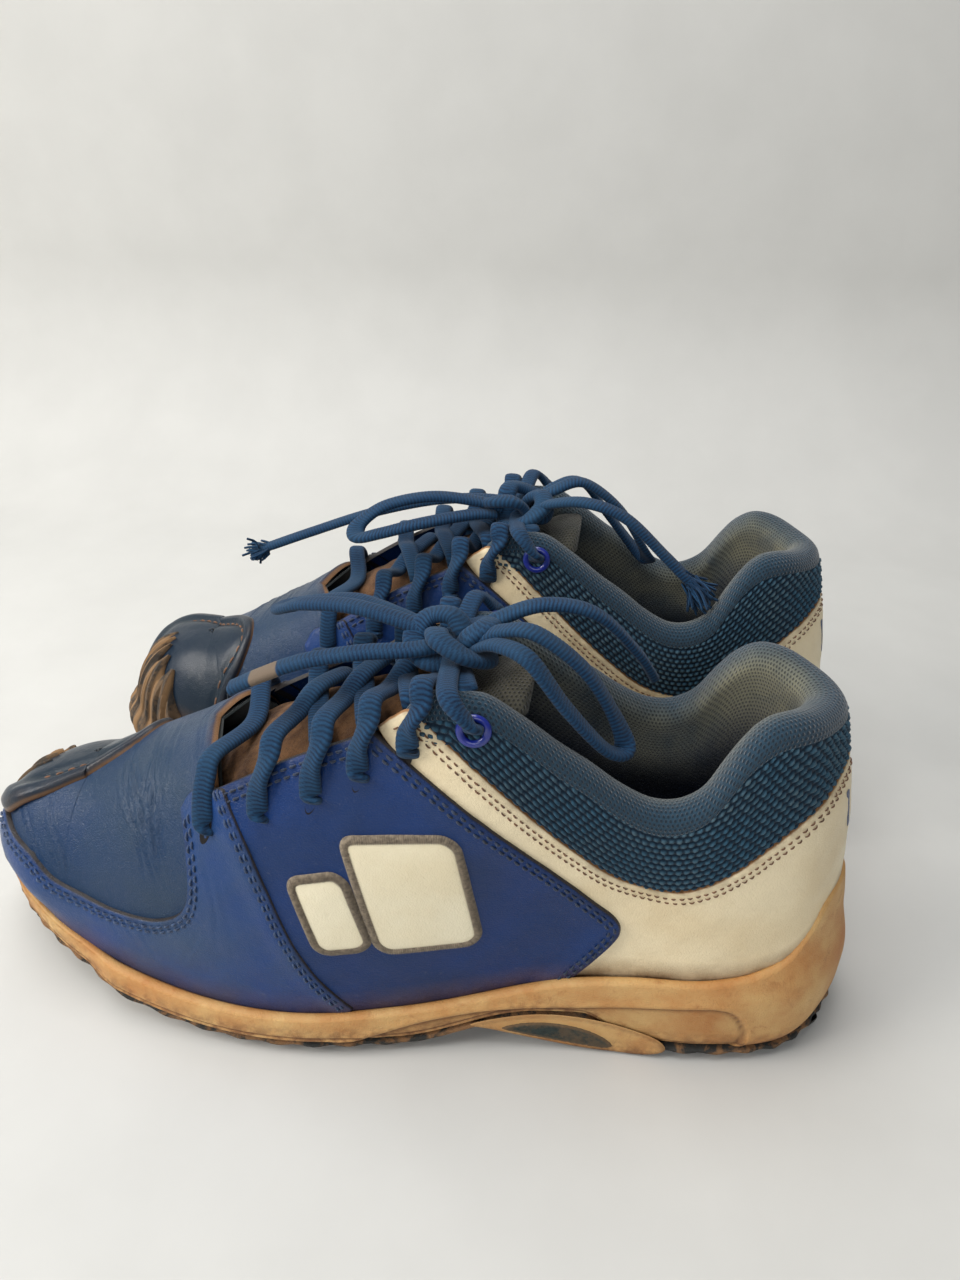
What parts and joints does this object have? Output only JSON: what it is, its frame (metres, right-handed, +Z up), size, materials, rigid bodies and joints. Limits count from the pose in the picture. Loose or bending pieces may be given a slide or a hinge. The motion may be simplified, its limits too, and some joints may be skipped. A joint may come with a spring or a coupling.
{
  "type": "pair of lace-up turf trainers",
  "caption": "Pair of worn low-cut lace-up turf trainers with padded collars, ribbed rubber toe guards and lugged rubber soles.",
  "frame": {"origin": "on the ground, midway between the heel and toe ends of the pair and midway between the two shoes (centre of the bounding box's underside)", "axes": "+X towards the heels, so the toes point to -X; +Y from the left shoe towards the right shoe; +Z up from the ground"},
  "size_m": [0.2878, 0.1852, 0.1324],
  "materials": {
    "outsole": "matt moulded black rubber, clay in the recesses",
    "midsole": "moulded foam, aged to tan, lightly rough",
    "shank_plate": "dark green-black moulded plastic, satin",
    "toe_bumper": "matt ribbed rubber coated with brown clay",
    "insole_board": "pressed fibre board",
    "footbed": "blue knitted cloth over foam",
    "toe_cap": "dark teal coated leather, glossy",
    "stiffener": "pale moulded stiffener sheet",
    "vamp": "worn grey-blue leather, creased",
    "vamp_lining": "dark mesh cloth",
    "mudguard": "blue leather, satin",
    "quarter": "royal blue leather, satin",
    "heel_wrap": "off-white coated leather with tan cut edge",
    "collar_cover": "coarse teal-navy knitted cloth",
    "collar_foam": "soft yellow foam",
    "lining": "perforated mesh cloth, grey to blue",
    "tongue_pad": "dark mesh over foam",
    "tongue_facing": "brown worn suede, fuzzy",
    "eyelet": "glossy blue plastic",
    "lace": "braided blue cord",
    "badge": "off-white leather patch with grey stitched border"
  },
  "bodies": {
    "left_shoe": {"left_badge_lateral": "badge", "left_badge_medial": "badge", "left_collar_cover": "collar_cover", "left_collar_foam": "collar_foam", "left_eyelet_lateral": "eyelet", "left_eyelet_medial": "eyelet", "left_heel_counter": "stiffener", "left_heel_wrap": "heel_wrap", "left_insole_board": "insole_board", "left_lace": "lace", "left_lining": "lining", "left_midsole": "midsole", "left_mudguard_lateral": "mudguard", "left_mudguard_medial": "mudguard", "left_outsole": "outsole", "left_quarter_lateral": "quarter", "left_quarter_medial": "quarter", "left_shank_plate": "shank_plate", "left_toe_bumper": "toe_bumper", "left_toe_cap": "toe_cap", "left_toe_puff": "stiffener", "left_vamp": "vamp", "left_vamp_lining": "vamp_lining"},
    "left_tongue": {"left_tongue_pad": "tongue_pad", "left_tongue_facing": "tongue_facing"},
    "left_footbed": {"left_footbed": "footbed"},
    "left_bow_loop_a": {"left_bow_loop_a": "lace"},
    "left_bow_loop_b": {"left_bow_loop_b": "lace"},
    "left_lace_end_a": {"left_lace_end_a": "lace"},
    "left_lace_end_b": {"left_lace_end_b": "lace"},
    "right_shoe": {"right_badge_lateral": "badge", "right_badge_medial": "badge", "right_collar_cover": "collar_cover", "right_collar_foam": "collar_foam", "right_eyelet_lateral": "eyelet", "right_eyelet_medial": "eyelet", "right_heel_counter": "stiffener", "right_heel_wrap": "heel_wrap", "right_insole_board": "insole_board", "right_lace": "lace", "right_lining": "lining", "right_midsole": "midsole", "right_mudguard_lateral": "mudguard", "right_mudguard_medial": "mudguard", "right_outsole": "outsole", "right_quarter_lateral": "quarter", "right_quarter_medial": "quarter", "right_shank_plate": "shank_plate", "right_toe_bumper": "toe_bumper", "right_toe_cap": "toe_cap", "right_toe_puff": "stiffener", "right_vamp": "vamp", "right_vamp_lining": "vamp_lining"},
    "right_tongue": {"right_tongue_pad": "tongue_pad", "right_tongue_facing": "tongue_facing"},
    "right_footbed": {"right_footbed": "footbed"},
    "right_bow_loop_a": {"right_bow_loop_a": "lace"},
    "right_bow_loop_b": {"right_bow_loop_b": "lace"},
    "right_lace_end_a": {"right_lace_end_a": "lace"},
    "right_lace_end_b": {"right_lace_end_b": "lace"}
  },
  "joints": [
    {"name": "pair_apart", "type": "slide", "parent": "left_shoe", "child": "right_shoe", "axis": [0, 1, 0], "range_m": [0, 0.15]},
    {"name": "left_tongue_sink", "type": "hinge", "parent": "left_shoe", "child": "left_tongue", "pos_m": [-0.05, -0.04475, 0.082], "axis": [0, 1, 0], "range_deg": [0, 12]},
    {"name": "left_footbed_lift", "type": "hinge", "parent": "left_shoe", "child": "left_footbed", "pos_m": [-0.132, -0.03875, 0.031], "axis": [0, -1, 0], "range_deg": [0, 5]},
    {"name": "left_bow_loop_a_lift", "type": "hinge", "parent": "left_shoe", "child": "left_bow_loop_a", "pos_m": [0.015, -0.04475, 0.1215], "axis": [0, 1, 0], "range_deg": [0, 45]},
    {"name": "left_bow_loop_b_lift", "type": "hinge", "parent": "left_shoe", "child": "left_bow_loop_b", "pos_m": [0.015, -0.04475, 0.1215], "axis": [0, -1, 0], "range_deg": [0, 45]},
    {"name": "left_lace_end_a_lift", "type": "hinge", "parent": "left_shoe", "child": "left_lace_end_a", "pos_m": [0.015, -0.04475, 0.1215], "axis": [0, 1, 0], "range_deg": [0, 45]},
    {"name": "left_lace_end_b_lift", "type": "hinge", "parent": "left_shoe", "child": "left_lace_end_b", "pos_m": [0.015, -0.04475, 0.1215], "axis": [0, -1, 0], "range_deg": [0, 45]},
    {"name": "right_tongue_sink", "type": "hinge", "parent": "right_shoe", "child": "right_tongue", "pos_m": [-0.042, 0.04475, 0.082], "axis": [0, 1, 0], "range_deg": [0, 12]},
    {"name": "right_footbed_lift", "type": "hinge", "parent": "right_shoe", "child": "right_footbed", "pos_m": [-0.124, 0.03875, 0.031], "axis": [0, -1, 0], "range_deg": [0, 5]},
    {"name": "right_bow_loop_a_lift", "type": "hinge", "parent": "right_shoe", "child": "right_bow_loop_a", "pos_m": [0.023, 0.04475, 0.1215], "axis": [0, 1, 0], "range_deg": [0, 45]},
    {"name": "right_bow_loop_b_lift", "type": "hinge", "parent": "right_shoe", "child": "right_bow_loop_b", "pos_m": [0.023, 0.04475, 0.1215], "axis": [0, -1, 0], "range_deg": [0, 45]},
    {"name": "right_lace_end_a_lift", "type": "hinge", "parent": "right_shoe", "child": "right_lace_end_a", "pos_m": [0.023, 0.04475, 0.1215], "axis": [0, 1, 0], "range_deg": [0, 45]},
    {"name": "right_lace_end_b_lift", "type": "hinge", "parent": "right_shoe", "child": "right_lace_end_b", "pos_m": [0.023, 0.04475, 0.1215], "axis": [0, -1, 0], "range_deg": [0, 45]}
  ]
}
